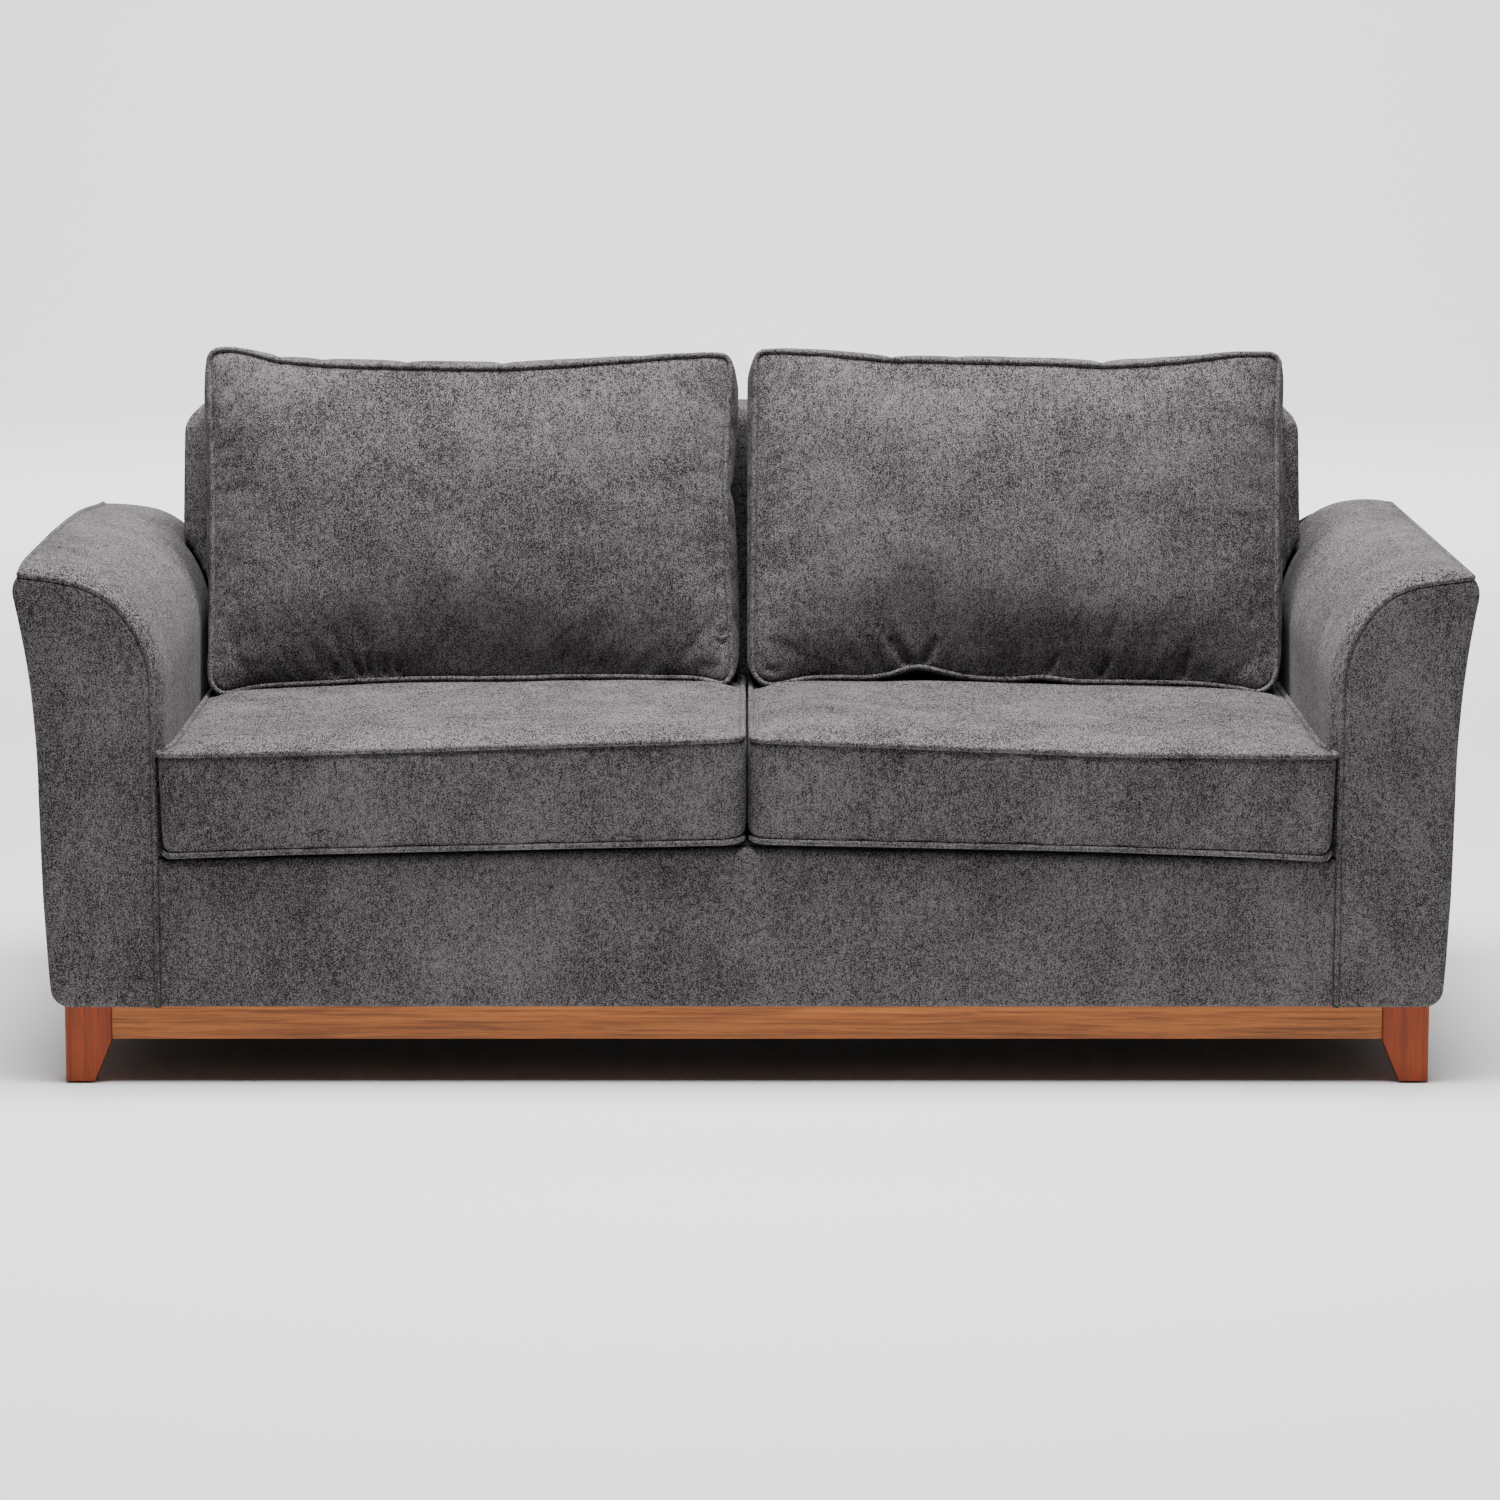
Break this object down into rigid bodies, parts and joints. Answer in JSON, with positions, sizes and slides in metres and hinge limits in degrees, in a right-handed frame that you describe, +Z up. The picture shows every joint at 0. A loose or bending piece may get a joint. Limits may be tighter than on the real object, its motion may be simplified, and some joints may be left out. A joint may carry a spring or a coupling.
{
  "type": "sofa",
  "caption": "Upholstered sofa with flared arms, piped flat arm fronts, a low back, loose box seat and back cushions, and a wooden plinth on tapered feet.",
  "frame": {"origin": "on the floor, at the middle of the bounding box's underside", "axes": "+X along the sofa to the sitter-facing viewer's right, +Y from the front to the back, +Z up"},
  "size_m": [1.9556, 0.8795, 0.9465],
  "materials": {
    "upholstery": "soft cut-pile chenille, mottled dark grey",
    "piping": "the same chenille, cut on the bias over a cord",
    "foot_wood": "red-brown stain under satin lacquer",
    "apron_wood": "golden-brown stain under satin lacquer",
    "frame_timber": "planed, unfinished",
    "fibreboard": "smooth pressed board",
    "felt": "needled wadding",
    "deck_lining": "plain woven lining",
    "dust_cloth": "spun-bonded black cloth",
    "webbing": "woven elastic strap",
    "spring_steel": "oiled wire and strip",
    "bolt_steel": "zinc plated",
    "zip": "moulded chain on woven tape",
    "glide_plastic": "moulded"
  },
  "bodies": {
    "frame": {"apron_front": "apron_wood", "apron_rear": "apron_wood", "apron_side_left": "apron_wood", "apron_side_right": "apron_wood", "arm_bolts": "bolt_steel", "arm_front_board_left": "frame_timber", "arm_front_board_right": "frame_timber", "arm_front_panel_left": "upholstery", "arm_front_panel_right": "upholstery", "arm_inner_board_left": "fibreboard", "arm_inner_board_right": "fibreboard", "arm_outer_panel_left": "upholstery", "arm_outer_panel_right": "upholstery", "arm_pad_left": "upholstery", "arm_pad_right": "upholstery", "arm_piping_left": "piping", "arm_piping_right": "piping", "arm_rails_left": "frame_timber", "arm_rails_right": "frame_timber", "arm_rear_board_left": "frame_timber", "arm_rear_board_right": "frame_timber", "back_bottom_rail": "frame_timber", "back_pad": "upholstery", "back_posts": "frame_timber", "back_top_rail": "frame_timber", "back_webbing": "webbing", "base_cross_rails": "frame_timber", "base_front_panel": "upholstery", "base_rail_front": "frame_timber", "base_rail_rear": "frame_timber", "base_rail_side_left": "frame_timber", "base_rail_side_right": "frame_timber", "corner_blocks": "frame_timber", "deck_cover": "deck_lining", "deck_pad": "felt", "dust_cover": "dust_cloth", "foot_bolts": "bolt_steel", "foot_front_left": "foot_wood", "foot_front_right": "foot_wood", "foot_glides": "glide_plastic", "foot_rear_left": "foot_wood", "foot_rear_right": "foot_wood", "rear_cover": "upholstery", "seat_springs": "spring_steel", "spring_clips": "spring_steel"},
    "left_seat": {"seat_cushion_left": "upholstery", "seat_piping_left": "piping", "seat_zip_left": "zip"},
    "right_seat": {"seat_cushion_right": "upholstery", "seat_piping_right": "piping", "seat_zip_right": "zip"},
    "left_back": {"back_cushion_left": "upholstery", "back_piping_left": "piping", "back_zip_left": "zip"},
    "right_back": {"back_cushion_right": "upholstery", "back_piping_right": "piping", "back_zip_right": "zip"}
  },
  "joints": [
    {"name": "left_seat_lift", "type": "slide", "parent": "frame", "child": "left_seat", "axis": [0, 0, 1], "range_m": [0, 0.4]},
    {"name": "right_seat_lift", "type": "slide", "parent": "frame", "child": "right_seat", "axis": [0, 0, 1], "range_m": [0, 0.4]},
    {"name": "left_back_lift", "type": "slide", "parent": "left_seat", "child": "left_back", "axis": [0, 0, 1], "range_m": [0, 0.5]},
    {"name": "right_back_lift", "type": "slide", "parent": "right_seat", "child": "right_back", "axis": [0, 0, 1], "range_m": [0, 0.5]}
  ]
}
